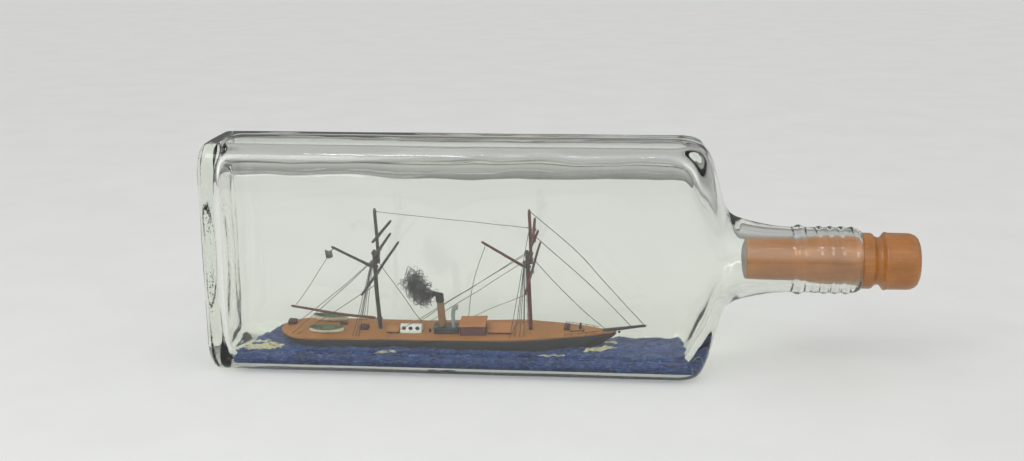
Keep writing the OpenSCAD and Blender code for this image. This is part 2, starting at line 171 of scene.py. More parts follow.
def wood(name, pale, dark, grain_mm=0.6, gloss=0.5, coat=0.0):
    """Wood with its grain along X: long streaks, fine pores and a slow change of tone."""
    pale, dark = linear(*pale), linear(*dark)
    s = Shader(name)
    streaks = s.noise(1 / grain_mm, 6, 0.6, (0.06, 1, 1), 0.4)
    tone = s.noise(0.12, 2)
    pores = s.noise(4 / grain_mm, 3, 0.7, (0.12, 1, 1))
    color = s.mix(streaks, pale, dark)
    color = s.mix(s.ramp(tone, (0.3, 0.0), (0.7, 0.5)), color, tuple(0.75 * c for c in dark))
    color = s.mix(s.ramp(pores, (0.58, 0.0), (0.72, 0.55)), color, tuple(0.35 * c for c in dark))
    s.bump(streaks, 0.25, 0.12)
    return s.finish(color, s.ramp(streaks, (0.3, gloss - 0.08), (0.7, gloss + 0.1)),
                    Coat_Weight=coat, Coat_Roughness=0.18)


def paint(name, color, worn, wear=0.35, brush_mm=0.5, gloss=0.5, speck=None):
    """Hand-brushed paint: brush marks, thin worn spots and, where given, specks of another colour."""
    color, worn = linear(*color), linear(*worn)
    s = Shader(name)
    brush = s.noise(1 / brush_mm, 4, 0.6, (0.25, 1, 1), 0.6)
    blotch = s.noise(0.35, 3)
    chips = s.noise(1.3, 6, 0.72)
    tone = s.mix(brush, tuple(0.72 * c for c in color), tuple(min(1, 1.3 * c) for c in color))
    tone = s.mix(s.ramp(blotch, (0.35, 0.0), (0.7, 0.4)), tone, tuple(0.6 * c for c in color))
    tone = s.mix(s.ramp(chips, (1 - wear, 0.0), (1.04 - wear, 0.85)), tone, worn)
    if speck:
        tone = s.mix(s.ramp(s.noise(2.4, 3, 0.7), (0.6, 0.0), (0.66, 0.9)), tone, linear(*speck))
    s.bump(s.mix(0.4, brush, chips), 0.35, 0.1)
    return s.finish(tone, s.ramp(brush, (0.3, gloss - 0.1), (0.7, gloss + 0.12)))


def thread_cotton(name, color):
    color = linear(*color)
    s = Shader(name)
    twist = s.node("ShaderNodeTexWave", wave_type="BANDS", bands_direction="DIAGONAL")
    set_inputs(twist, {"Scale": 1.6, "Distortion": 0.8})
    s.link(s.scaled(), twist.inputs["Vector"])
    strands = twist.outputs["Fac"]
    tone = s.mix(strands, tuple(0.55 * c for c in color), tuple(min(1, 1.35 * c) for c in color))
    tone = s.mix(s.ramp(s.noise(0.3, 3), (0.4, 0.0), (0.7, 0.4)), tone, tuple(0.6 * c for c in color))
    s.bump(strands, 0.4, 0.05)
    return s.finish(tone, Roughness=0.85, Sheen_Weight=0.3)


# Where the stippled ring round the bottle's heel lies along X
HEEL_MM = -141.8


def glass():
    """Clear moulded glass: faint ripples, small pits, a stippled heel and a grey-green tint where thick."""
    s = Shader("bottle_glass")
    ripple = s.noise(0.09, 2, 0.5, (0.6, 1, 1), 0.3)
    pits = s.ramp(s.noise(0.8, 4, 0.75), (0.73, 0.0), (0.76, 1.0))
    stipple = s.node("ShaderNodeTexVoronoi", feature="F1")
    stipple.inputs["Scale"].default_value = 0.9
    s.link(s.scaled(), stipple.inputs["Vector"])
    place = s.node("ShaderNodeSeparateXYZ")
    s.link(s.scaled(), place.inputs[0])
    near_heel = s.node("ShaderNodeMapRange")
    set_inputs(near_heel, {"From Min": HEEL_MM - 2, "From Max": HEEL_MM + 2})
    s.link(place.outputs["X"], near_heel.inputs["Value"])
    band = s.ramp(near_heel.outputs["Result"], (0.2, 0.0), (0.35, 1.0), (0.65, 1.0), (0.8, 0.0))
    dots = s.mix(band, 0.0, s.ramp(stipple.outputs["Distance"], (0.15, 1.0), (0.45, 0.0)))
    height = s.mix(0.35, s.mix(0.12, ripple, pits), dots)
    s.bump(height, 0.3, 0.35)
    s.finish(Base_Color=(0.975, 0.985, 0.96, 1), Roughness=0.0, IOR=1.5, Transmission_Weight=1.0)
    clear = s.node("ShaderNodeBsdfTransparent")
    clear.inputs["Color"].default_value = (0.94, 0.95, 0.92, 1)
    is_shadow = s.node("ShaderNodeLightPath").outputs["Is Shadow Ray"]
    either = s.node("ShaderNodeMixShader")
    s.link(is_shadow, either.inputs[0])
    s.link(s.bsdf.outputs[0], either.inputs[1])
    s.link(clear.outputs[0], either.inputs[2])
    output = s.tree.nodes["Material Output"]
    s.link(either.outputs[0], output.inputs["Surface"])
    tint = s.node("ShaderNodeVolumeAbsorption")
    set_inputs(tint, {"Color": (0.80, 0.87, 0.74, 1), "Density": 12.0})
    s.link(tint.outputs[0], output.inputs["Volume"])
    return s.material


def sea_putty():
    """Blue putty: deep blue with darker blotches, paler brushed streaks, pale patches on the wave tops that are
    partly brushed putty and partly painted highlight, and a wet gloss.
    """
    s = Shader("sea_putty")
    streaks = s.noise(0.55, 6, 0.62, (0.35, 1, 1), 1.2)
    crests_and_painted_highlights = s.noise(1.5, 5, 0.7, (0.4, 1, 1), 0.8)
    blotch = s.noise(0.13, 3)
    color = s.ramp(streaks, (0.3, linear(16, 36, 84)), (0.5, linear(28, 54, 116)),
                   (0.66, linear(60, 94, 158)))
    color = s.mix(s.ramp(blotch, (0.4, 0.0), (0.62, 0.55)), color, linear(14, 30, 72))
    # Pale blue patches: partly paler putty on the wave tops, partly painted highlight.
    color = s.mix(s.ramp(crests_and_painted_highlights, (0.54, 0.0), (0.66, 0.75)), color, linear(128, 154, 190))
    s.bump(s.mix(0.4, streaks, crests_and_painted_highlights), 0.8, 0.7)
    return s.finish(color, s.ramp(crests_and_painted_highlights, (0.3, 0.28), (0.7, 0.5)), Coat_Weight=0.25, Coat_Roughness=0.2)


def foam_putty():
    s = Shader("foam_paint")
    grain = s.noise(1.2, 6, 0.7)
    blotch = s.noise(0.4, 3)
    color = s.ramp(blotch, (0.35, linear(188, 192, 180)), (0.52, linear(196, 186, 134)),
                   (0.66, linear(96, 112, 140)))
    color = s.mix(s.ramp(grain, (0.5, 0.0), (0.68, 0.6)), color, linear(224, 224, 214))
    s.bump(grain, 0.7, 0.4)
    return s.finish(color, s.ramp(grain, (0.3, 0.4), (0.7, 0.65)))


def smoke_wool():
    s = Shader("smoke_wool")
    color = s.ramp(s.noise(0.5, 4), (0.35, linear(8, 8, 9)), (0.7, linear(32, 33, 37)))
    s.bump(s.noise(6, 3), 0.4, 0.05)
    return s.finish(color, Roughness=0.95, Sheen_Weight=0.4)


M = {
    "glass": glass(),
    "stopper": wood("stopper_wood", (188, 124, 58), (140, 86, 36), grain_mm=0.9, gloss=0.38, coat=0.3),
    # The shank's end face is coloured pale grey as a painted reflection on the cut end, not as the wood's own
    # colour.
    "end_painted_reflection": wood("stopper_end_painted_reflection", (168, 158, 146), (132, 118, 104), grain_mm=0.5, gloss=0.6),
    "sea": sea_putty(),
    "foam": foam_putty(),
    "hull": paint("hull_paint", (38, 36, 38), (70, 68, 72), wear=0.36, brush_mm=0.8, gloss=0.42),
    "deck": wood("deck_wood", (184, 124, 58), (148, 94, 42), grain_mm=0.7, gloss=0.55),
    "black": paint("black_paint", (24, 23, 24), (46, 42, 40), wear=0.3, brush_mm=0.4, gloss=0.5),
    "mast": wood("mast_wood", (70, 60, 58), (44, 38, 40), grain_mm=0.35, gloss=0.5),
    "foremast": wood("foremast_wood", (110, 52, 46), (70, 32, 30), grain_mm=0.35, gloss=0.48),
    "yard": wood("yard_wood", (60, 54, 52), (38, 34, 36), grain_mm=0.3, gloss=0.5),
    "pin": paint("pin_wire", (104, 90, 62), (60, 52, 40), wear=0.4, brush_mm=0.3, gloss=0.4),
    "thread": thread_cotton("rigging_thread", (58, 52, 50)),
    "pale_thread": thread_cotton("pale_thread", (112, 108, 104)),
    "funnel": paint("funnel_paint", (150, 108, 70), (98, 66, 40),
                    wear=0.42, brush_mm=0.4, gloss=0.5, speck=(46, 40, 36)),
    "smoke": smoke_wool(),
    "casing": paint("casing_paint", (44, 50, 56), (78, 84, 88), wear=0.36, brush_mm=0.5, gloss=0.42),
    "vent": paint("vent_paint", (134, 144, 142), (172, 178, 172), wear=0.4, brush_mm=0.3, gloss=0.4),
    "house": paint("house_paint", (90, 50, 56), (54, 32, 38), wear=0.4, brush_mm=0.6, gloss=0.5),
    "roof": wood("roof_wood", (196, 128, 60), (164, 100, 42), grain_mm=0.7, gloss=0.5),
    "coaming": paint("coaming_paint", (60, 28, 24), (92, 50, 36), wear=0.36, brush_mm=0.4, gloss=0.5),
    "skylight": paint("skylight_paint", (230, 234, 232), (196, 200, 198),
                      wear=0.4, brush_mm=0.5, gloss=0.45),
    "boat_green": paint("boat_paint", (84, 108, 70), (126, 138, 106), wear=0.38, brush_mm=0.4, gloss=0.48),
    "boat_cream": paint("boat_cream", (222, 220, 204), (176, 176, 160), wear=0.36, brush_mm=0.4, gloss=0.5),
    "thwart": wood("thwart_wood", (142, 98, 66), (96, 62, 40), grain_mm=0.4, gloss=0.55),
    "flag": paint("flag_paper", (92, 94, 96), (58, 58, 62), wear=0.45, brush_mm=0.5, gloss=0.7),
}

# ---------------------------------------------------------------- mesh helpers

BODY_OF = {node: body for body, nodes in frame["record"]["behaviour"]["bodies"].items() for node in nodes}


def add_piece(name, mesh, materials, node, hide=True, ride=True):
    """Adds a finished mesh that rides with the node's body and, unless hide is False, stands for the node."""
    piece = bpy.data.objects.new(name, mesh)
    bpy.context.scene.collection.objects.link(piece)
    for material in materials:
        mesh.materials.append(material)
    mesh.shade_smooth()
    if ride:
        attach(piece, BODY_OF[node])
    if hide:
        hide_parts(node)
    return piece


def noise_at(x, y, z):
    return noise.noise(Vector((x, y, z)))


def round_angles(count):
    """Angles evenly spaced round a circle."""
    return [2 * math.pi * k / count for k in range(count)]


def border(rows, columns):
    """Numbers of the points round the edge of a grid of cells, when the points are counted row by row."""
    across = columns + 1
    return ([i * across for i in range(rows)] + [rows * across + j for j in range(columns)]
            + [i * across + columns for i in range(rows, 0, -1)] + list(range(columns, 0, -1)))


def mesh_of(name, verts, faces):
    mesh = bpy.data.meshes.new(name)
    mesh.from_pydata([tuple(v) for v in verts], [], faces)
    mesh.update()
    return mesh


class Shape:
    """Vertices and faces gathered from several simple shells, in millimetres of a chosen frame."""

    def __init__(self, place=Matrix.Identity(4)):
        self.place = place
        self.verts = []
        self.faces = []
        self.marks = []

    def shell(self, rings, closed=True, cap_start=True, cap_end=True, mark=0):
        """Joins rings of equally many points. Caps fan from the middle of the end ring."""
        first = len(self.verts)
        count = len(rings[0])
        for ring in rings:
            self.verts += [self.place @ Vector(p) * MM for p in ring]
        steps = count if closed else count - 1
        for i in range(len(rings) - 1):
            a, b = first + i * count, first + (i + 1) * count
            for k in range(steps):
                n = (k + 1) % count
                self.faces.append((a + k, a + n, b + n, b + k))
        last = first + (len(rings) - 1) * count
        for wanted, start, turned in ((cap_start, first, True), (cap_end, last, False)):
            if wanted:
                middle = sum((self.verts[start + k] for k in range(count)), Vector()) / count
                self.verts.append(middle)
                hub = len(self.verts) - 1
                for k in range(count):
                    n = (k + 1) % count
                    self.faces.append((hub, start + n, start + k) if turned else (hub, start + k, start + n))
        self.marks += [mark] * (len(self.faces) - len(self.marks))

    def tube(self, points, radius, sides=8, uneven=0.0, mark=0):
        """A round tube along points. radius is a number or a function of the share of the way along."""
        points = [Vector(p) for p in points]
        side = Vector((0.13, 0.29, 0.95)).orthogonal()
        rings = []
        for i, p in enumerate(points):
            ahead = (points[min(i + 1, len(points) - 1)] - points[max(i - 1, 0)]).normalized()
            side = (side - ahead * side.dot(ahead)).normalized()
            other = ahead.cross(side)
            r = radius(i / (len(points) - 1)) if callable(radius) else radius
            ring = []
            for k in range(sides):
                a = 2 * math.pi * k / sides
                out = math.cos(a) * side + math.sin(a) * other
                ring.append(p + out * r * (1 + uneven * noise.noise((p + out * r) * 0.9)))
            rings.append(ring)
        self.shell(rings, mark=mark)

    def mesh(self, name):
        made = mesh_of(name, self.verts, self.faces)
        for polygon, mark in zip(made.polygons, self.marks):
            polygon.material_index = mark
        tidy = bmesh.new()
        tidy.from_mesh(made)
        bmesh.ops.recalc_face_normals(tidy, faces=tidy.faces)
        tidy.to_mesh(made)
        tidy.free()
        return made


def loose_parts(node):
    """The corner points of each separate solid of a CAD node, in millimetres."""
    cad = bmesh.new()
    cad.from_mesh(frame["nodes"][node].data)
    bmesh.ops.remove_doubles(cad, verts=cad.verts, dist=1e-6)
    seen, parts = set(), []
    for start in cad.verts:
        if start.index in seen:
            continue
        stack, part = [start], []
        seen.add(start.index)
        while stack:
            vert = stack.pop()
            part.append(vert.co / MM)
            for edge in vert.link_edges:
                other = edge.other_vert(vert)
                if other.index not in seen:
                    seen.add(other.index)
                    stack.append(other)
        parts.append(np.array(part))
    cad.free()
    return parts


def rod_axis(part):
    """The two ends and the radius of a straight rod, from its points."""
    middle = part.mean(0)
    direction = np.linalg.svd(part - middle)[2][0]
    along = (part - middle) @ direction
    low = part[along < along.min() + 0.02 * np.ptp(along)].mean(0)
    high = part[along > along.max() - 0.02 * np.ptp(along)].mean(0)
    unit = (high - low) / np.linalg.norm(high - low)
    off = (part - low) - ((part - low) @ unit)[:, None] * unit
    return Vector(low), Vector(high), float(np.median(np.linalg.norm(off, axis=1)))


def between(a, b, steps, sag=0.0):
    """Points from a to b, hanging by sag millimetres in the middle."""
    return [a.lerp(b, i / steps) - Vector((0, 0, 4 * sag * (i / steps) * (1 - i / steps)))
            for i in range(steps + 1)]


def carved(node, material, bevel_mm, wobble_mm):
    """A hand-carved copy of a CAD node: softened edges and slightly uneven faces."""
    cad = bmesh.new()
    cad.from_mesh(frame["nodes"][node].data)
    bmesh.ops.remove_doubles(cad, verts=cad.verts, dist=1e-6)
    bmesh.ops.dissolve_limit(cad, angle_limit=0.02, verts=cad.verts, edges=cad.edges)
    sharp = [e for e in cad.edges if len(e.link_faces) == 2 and e.calc_face_angle(0) > 0.5]
    bmesh.ops.bevel(cad, geom=sharp, offset=bevel_mm * MM, segments=2, profile=0.6, affect="EDGES",
                    clamp_overlap=True)
    bmesh.ops.triangulate(cad, faces=[f for f in cad.faces if len(f.verts) > 4])
    for _ in range(2):
        long_edges = [e for e in cad.edges if e.calc_length() > 2.5 * MM]
        if long_edges:
            bmesh.ops.subdivide_edges(cad, edges=long_edges, cuts=1, use_grid_fill=True)
    for vert in cad.verts:
        vert.co += noise.noise_vector(vert.co / MM * 0.45) * wobble_mm * MM
    bmesh.ops.recalc_face_normals(cad, faces=cad.faces)
    mesh = bpy.data.meshes.new(node + "_carved")
    cad.to_mesh(mesh)
    cad.free()
    add_piece(node + "_carved", mesh, [material], node)
    mesh.set_sharp_from_angle(angle=math.radians(40))


# ---------------------------------------------------------------- bottle and stopper

AXIS_Z = 48.0
BASE_X, INNER_BASE_X, LIP_X = -144, -138.8, 120.8
HALF_DEPTH, HALF_HEIGHT, NECK_R = 21, 48, 13.2
RING_POINTS = 208
THREAD_FROM, THREAD_TO, THREAD_PITCH = 101.5, 119.0, 4.3


def ring_angles():
    """Angles round a section, closer together at the bevelled corners."""
    quarter = RING_POINTS // 4
    angles = []
    for corner in range(4):
        for k in range(quarter):
            u = 2 * k / quarter - 1
            angles.append(math.radians(90 * corner + 45 + 45 * (0.42 * u + 0.58 * u ** 3)))
    return angles


ANGLES = ring_angles()


def flask_point(angle, half_y, half_z, cut_y, cut_z, roundness):
    """Where a ray meets a rectangle with softened bevels, both measured from the section's middle."""
    c, s = abs(math.cos(angle)), abs(math.sin(angle))
    cy, cz = cut_y / half_y, cut_z / half_z
    walls = (c, s, ((1 - cz) * c + (1 - cy) * s) / (1 - cy * cz))
    reach = sum(w ** roundness for w in walls) ** (-1 / roundness)
    return half_y * reach * math.cos(angle), half_z * reach * math.sin(angle)


def smooth(t):
    t = min(1, max(0, t))
    return t * t * (3 - 2 * t)


def curve(points, x):
    """The value at x on straight lines through (x, value) points."""
    for (x0, v0), (x1, v1) in zip(points, points[1:]):
        if x <= x1:
            return v0 + (v1 - v0) * min(1, max(0, (x - x0) / (x1 - x0)))
    return points[-1][1]


def eased(points, x):
    """curve() with its corners rounded, as the mean of five places 0.45 mm apart."""
    offsets = (-2, -1, 0, 1, 2)
    return sum(curve(points, x + o * 0.45) for o in offsets) / len(offsets)


OUT_HIGH = [(-144, 44.5), (-143.6, 46), (-142.6, 47.3), (-141, 47.9), (-139.5, 48), (50, 48), (54, 47.5),
            (57, 46.3), (59.6, 44), (61.6, 40.5), (63.2, 35), (64.8, 28.5), (66.2, 23.5), (68, 19.6),
            (71, 17.3), (75, 16.1), (80, 14.8), (85, 13.9), (89, 13.45), (92.5, 13.2), (117, 13.2),
            (119.6, 12.9), (120.5, 12.3), (120.8, 11.6)]
OUT_DEEP = [(-144, 18.6), (-143.6, 19.7), (-142.6, 20.5), (-141, 20.95), (-139.5, 21), (50, 21),
            (54, 20.8), (58, 20), (62, 18.8), (66, 17.7), (70, 17), (75, 15.9), (80, 14.75), (85, 13.9),
            (89, 13.45), (92.5, 13.2), (117, 13.2), (119.6, 12.9), (120.5, 12.3), (120.8, 11.6)]
IN_HIGH = [(-138.8, 39), (-138.2, 41), (-136.5, 43.1), (-134, 43.7), (46, 43.7), (50, 43.1), (54, 41.2),
           (57, 38.2), (59.3, 34.4), (61, 30), (62.8, 24), (65, 18.6), (68, 15), (72, 12), (76, 10.7),
           (82, 10.1), (120.8, 10.05)]
IN_DEEP = [(-138.8, 13.8), (-138.2, 15), (-136.5, 16.9), (-134, 17.5), (46, 17.5), (50, 17.2), (54, 16.6),
           (58, 15.8), (62, 14.9), (66, 13.9), (70, 12.5), (73, 11.4), (76, 10.7), (82, 10.1),
           (120.8, 10.05)]


def bead(x, at, half_width, height):
    d = abs(x - at) / half_width
    return height * (math.cos(math.pi * min(1, d)) + 1) / 2


def screw(x, angle):
    """Height of the neck's screw thread, which fades in and out at its ends."""
    turn = ((x - THREAD_FROM) / THREAD_PITCH - angle / (2 * math.pi)) % 1
    ridge = (0.5 + 0.5 * math.cos(2 * math.pi * (turn - 0.5))) ** 1.3
    fade = smooth((x - THREAD_FROM) / 2.5) * smooth((THREAD_TO - x) / 2.0)
    return 0.5 * ridge * fade


def section(x, high, deep, bevel, round_from, corners):
    """Each angle with its y and z: bevelled in the body and round from the shoulder on."""
    toward_round = smooth((x - round_from) / 14)
    roundness = corners[0] + (corners[1] - corners[0]) * toward_round
    for angle in ANGLES:
        y, z = flask_point(angle, deep, high, deep - bevel[0], high - bevel[1], roundness)
        round_y, round_z = deep * math.cos(angle), high * math.sin(angle)
        yield angle, y + (round_y - y) * toward_round, z + (round_z - z) * toward_round


def outer_ring(x):
    high, deep = eased(OUT_HIGH, x), eased(OUT_DEEP, x)
    ring = []
    for angle, y, z in section(x, high, deep, (3.6, 6.0), 56, (26, 8)):
        if x > 92:
            lift = 1 + (bead(x, 96.4, 3.0, 0.95) + screw(x, angle)) / NECK_R
            y, z = y * lift, z * lift
        if x < 80:
            soft = 0.10 * noise_at(x * 0.03, y * 0.08, z * 0.06)
            y, z = y * (1 + soft / 30), z * (1 + soft / 48)
        y = max(-HALF_DEPTH, min(HALF_DEPTH, y))
        z = max(-HALF_HEIGHT, min(HALF_HEIGHT, z))
        ring.append((x, y, AXIS_Z + z))
    return ring


def inner_ring(x):
    """The inner wall: blown, so it ripples slowly and its corners are soft."""
    high, deep = eased(IN_HIGH, x), eased(IN_DEEP, x)
    ring = []
    for angle, y, z in section(x, high, deep, (3.4, 6.2), 52, (11, 7)):
        ripple = (1 - smooth((x - 60) / 12)) * smooth((z + 38) / 6)
        edge = abs(math.sin(2 * angle)) ** 0.5
        wave = (noise_at(x * 0.022, y * 0.05, z * 0.03)
                + 0.45 * noise_at(x * 0.07, y * 0.1, z * 0.09))
        shift = ripple * (0.2 + 0.5 * edge) * wave - 0.25 * ripple
        y, z = y * (1 + shift / max(20, deep)), z * (1 + shift / max(40, high))
        ring.append((x, y, AXIS_Z + z))
    return ring


def stations(*spans):
    """Places along X: for each (from, to, step)."""
    out = []
    for start, end, step in spans:
        n = max(1, round((end - start) / step))
        out += [start + (end - start) * i / n for i in range(n)]
    return out + [spans[-1][1]]


def base_rings(x, ring, push_mm):
    """Rings that close an end: shrinking copies of ring, pushed in towards the middle."""
    shares = (0.06, 0.2, 0.4, 0.62, 0.82, 0.94)
    middle_y = sum(p[1] for p in ring) / len(ring)
    middle_z = sum(p[2] for p in ring) / len(ring)
    return [[(x + push_mm * smooth(1.25 * (1 - share) - 0.1), middle_y + (p[1] - middle_y) * share,
              middle_z + (p[2] - middle_z) * share) for p in ring] for share in shares]


def make_bottle():
    outside = [outer_ring(x) for x in stations((BASE_X, -139, 0.5), (-139, 48, 6), (48, 72, 0.8),
                                               (72, 93, 1.0), (93, 118.5, 0.4), (118.5, LIP_X, 0.3))]
    inside = [inner_ring(x) for x in stations((INNER_BASE_X, -133, 0.6), (-133, 48, 3), (48, 78, 0.9),
                                              (78, 120.3, 4))]
    shape = Shape()
    base = base_rings(BASE_X, outside[0], 2.4)
    floor = base_rings(INNER_BASE_X, inside[0], 1.6)
    lip = [[(LIP_X, r * math.cos(a), AXIS_Z + r * math.sin(a)) for a in ANGLES] for r in (11.2, 10.6)]
    shape.shell(base + outside + lip + inside[::-1] + floor[::-1])
    add_piece("glass_bottle", shape.mesh("bottle"), [M["glass"]], "bottle")


# The stopper's outline, as places along X and radii
STOPPER = [(75.0, 0.6), (75.0, 7.5), (75.15, 8.05), (75.6, 8.35), (80, 8.4), (90, 8.45), (98, 8.6),
           (106, 9.85), (113, 9.88), (119.8, 9.88), (120.85, 9.9), (120.9, 10.9), (121.2, 11.25),
           (122, 11.3), (124.6, 11.25), (125.3, 11.0), (126.1, 10.2), (126.9, 9.65), (127.8, 9.5),
           (128.6, 9.8), (129.4, 10.8), (129.9, 11.55), (130.3, 11.72), (130.8, 11.66), (131.4, 11.45),
           (135, 11.4), (139, 11.4), (140.6, 11.2), (142.0, 10.6), (143.0, 9.7), (143.7, 8.2),
           (143.95, 6), (144, 0.6)]


def make_stopper():
    """Turned on a lathe, so fine tool rings run round it."""
    rings = []
    for (x0, r0), (x1, r1) in zip(STOPPER, STOPPER[1:]):
        n = max(1, math.ceil(math.hypot(x1 - x0, r1 - r0) / 0.5))
        for i in range(n):
            x, r = x0 + (x1 - x0) * i / n, r0 + (r1 - r0) * i / n
            r = max(0.3, r - 0.035 * (1 + math.sin(x * 9.0)) * (0.4 + noise_at(x, 3, 7)))
            rings.append([(x, r * math.cos(a), AXIS_Z + r * math.sin(a)) for a in round_angles(72)])
    shape = Shape()
    shape.shell(rings)
    mesh = shape.mesh("stopper")
    # The shank's end face takes the pale grey painted reflection.
    for polygon in mesh.polygons:
        if polygon.center.x < (STOPPER[0][0] + 0.1) * MM:
            polygon.material_index = 1
    piece = add_piece("turned_stopper", mesh, [M["stopper"], M["end_painted_reflection"]], "stopper")
    piece.data.set_sharp_from_angle(angle=math.radians(50))


make_bottle()
make_stopper()

# ---------------------------------------------------------------- sea

# Height and half width of the putty's underside, its ends along X, and its half width on top
SEA_FLOOR, SEA_FLOOR_HALF = 4.25, 15.0
SEA_ENDS = (-133.5, 55.5)
SEA_HALF = 17.6


def sea_edge_left(y):
    """The putty's ragged left end: it reaches furthest along the front wall."""
    t = (y + SEA_HALF) / (2 * SEA_HALF)
    return SEA_ENDS[0] + 10.5 * smooth(t) + 1.6 * noise_at(1.7, y * 0.35, 0)


def sea_edge_right(y):
    return SEA_ENDS[1] - 1.6 + 2.2 * noise_at(9.1, y * 0.22, 0)


def sea_height(x, y):
    """Top of the putty: highest along the front and at both ends, lower behind the ship."""
    behind = smooth((y + 2) / 17)
    middle = smooth((x + 124) / 14) * smooth((54 - x) / 9)
    swell = 0.55 * math.sin(x * 0.34 + 2.2 * noise_at(x * 0.05, y * 0.1, 2)) * (0.5 + 0.5 * behind)
    chop = noise_at(x * 0.26, y * 0.4, 5) + 0.7 * noise_at(x * 0.7, y * 0.85, 8)
    return 8.7 - 3.2 * behind * middle + swell + 0.9 * chop


def make_sea():
    across, along = 46, 330
    rows = []
    for i in range(along + 1):
        row = []
        for j in range(across + 1):
            y = -SEA_HALF + 2 * SEA_HALF * j / across
            left, right = sea_edge_left(y), sea_edge_right(y)
            x = left + (right - left) * i / along
            end = min(x - left, right - x)
            wall = SEA_HALF - abs(y)
            roll = 1.5 * (1 - smooth(end / 2.2)) + 0.5 * (1 - smooth(wall / 0.8))
            row.append((x, y, sea_height(x, y) - roll))
        rows.append(row)
    grid = [p for row in rows for p in row]
    count = across + 1
    faces = [(i * count + j, (i + 1) * count + j, (i + 1) * count + j + 1, i * count + j + 1)
             for i in range(along) for j in range(across)]
    rim = border(along, across)
    low = len(grid)
    for k in rim:
        x, y, _ = grid[k]
        grid.append((x, max(-SEA_FLOOR_HALF, min(SEA_FLOOR_HALF, y)), SEA_FLOOR))
    grid.append((-40, 0, SEA_FLOOR))
    for k in range(len(rim)):
        n = (k + 1) % len(rim)
        faces.append((rim[k], low + k, low + n, rim[n]))
    faces += [(low + (k + 1) % len(rim), low + k, len(grid) - 1) for k in range(len(rim))]
    shape = Shape()
    shape.verts = [Vector(p) * MM for p in grid]
    shape.faces = faces
    shape.marks = [0] * len(faces)
    add_piece("putty_sea", shape.mesh("sea"), [M["sea"]], "sea")


def foam(name, node, patches):
    """Ragged foam laid on the waves. Each patch is (x, y, half length, half width, turn, height)."""
    shape = Shape()
    for x0, y0, half_x, half_y, turn, height in patches:
        c, s = math.cos(math.radians(turn)), math.sin(math.radians(turn))
        n, m = max(16, round(half_x * 5)), max(10, round(half_y * 7))
        top, low = [], []
        for i in range(n + 1):
            for j in range(m + 1):
                u, v = 2 * i / n - 1, 2 * j / m - 1
                x = x0 + half_x * u * c - half_y * v * s
                y = y0 + half_x * u * s + half_y * v * c
                y = max(-SEA_HALF + 0.1, min(SEA_HALF - 0.1, y))
                ragged = noise_at(x * 0.5, y * 0.9, 3) + 0.6 * noise_at(x * 1.6, y * 2.2, 4)
                cover = 1 - u * u - v * v + 0.75 * ragged
                z = sea_height(x, y) + (height * min(1, 1.6 * cover) if cover > 0 else cover * 1.5 - 0.12)
                top.append((x, y, z))
                low.append((x, y, sea_height(x, y) - 2.0))
        count = m + 1
        first = len(shape.verts)
        shape.verts += [Vector(p) * MM for p in top + low]
        under = first + len(top)
        for i in range(n):
            for j in range(m):
                a, b = i * count + j, (i + 1) * count + j
                shape.faces.append((first + a, first + b, first + b + 1, first + a + 1))
                shape.faces.append((under + a, under + a + 1, under + b + 1, under + b))
        rim = border(n, m)
        for k, a in enumerate(rim):
            b = rim[(k + 1) % len(rim)]
            shape.faces.append((first + a, under + a, under + b, first + b))
    shape.marks = [0] * len(shape.faces)
    add_piece(name, shape.mesh(name), [M["foam"]], node)


make_sea()
foam("stern_foam_paint", "stern_foam",
     [(-122.5, -10.5, 8.5, 3.6, 14, 0.4), (-125.5, -4.5, 4.5, 1.8, -6, 0.35)])
foam("bow_wave_paint", "bow_wave",
     [(17, -6.4, 7.5, 1.8, 20, 1.0), (20.5, 4.6, 5.5, 1.4, -28, 0.9)])
foam("side_foam_paint", "foam_streaks",
     [(-71, -13.4, 5, 0.75, 4, 0.3), (-2, -13, 5.5, 0.75, 3, 0.3), (-50, 14, 6, 0.8, -3, 0.3)])

# ---------------------------------------------------------------- ship

# The ship's own frame: the stern at x 0, the deck's top at z 0, heeled towards the front and trimmed
SHIP_AT, HEEL_DEG, TRIM_DEG = (-117.3, -0.5, 13.8), 7, -1.1
SHIP = (Matrix.Translation(SHIP_AT) @ Matrix.Rotation(math.radians(HEEL_DEG), 4, "X")
        @ Matrix.Rotation(math.radians(TRIM_DEG), 4, "Y"))
MAIN_X, FORE_X = 42.2, 105.5
HULL_LENGTH, HALF_BEAM, DECK_THICK = 141.0, 10.0, 0.8


def half_beam(x):
    """Half the deck's width, from the stern at 0 to the stem."""
    if x < 16:
        return HALF_BEAM * max(0, 1 - (1 - x / 16) ** 2.3) ** 0.5
    return HALF_BEAM * (1 - max(0, (x - 92) / (HULL_LENGTH - 92)) ** 2.1)


def make_hull():
    """Carved sides: a thin strake under the deck, a slight tuck below, and chisel marks."""
    xs = [HULL_LENGTH * (1 - math.cos(math.pi * i / 120)) / 2 for i in range(121)]
    levels = (-0.78, -0.95, -1.15, -1.7, -2.6, -3.8, -5.2, -6.8, -8.4)
    shape = Shape(SHIP)
    rings = []
    for x in xs:
        rake = smooth((x - 126) / 15)
        counter = 1 - smooth(x / 9)
        ring = []
        for side in (-1, 1):
            for z in (levels if side < 0 else levels[::-1]):
                low = smooth((-z - 1) / 7.5)
                lean = 0.10 if -1.1 < z else 0.0
                width = max(0.05, half_beam(x) * (1 - 0.10 * low) - lean - 1.6 * low * counter)
                px = x - 7.5 * rake * low + 5.5 * counter * low
                chip = 0.07 * noise_at(px * 0.5, z * 0.8, side * 3)
                ring.append((px, side * (width + chip), z))
        rings.append(ring)
    shape.shell(rings)
    piece = add_piece("carved_hull", shape.mesh("hull"), [M["hull"]], "ship_hull")
    piece.data.set_sharp_from_angle(angle=math.radians(50))


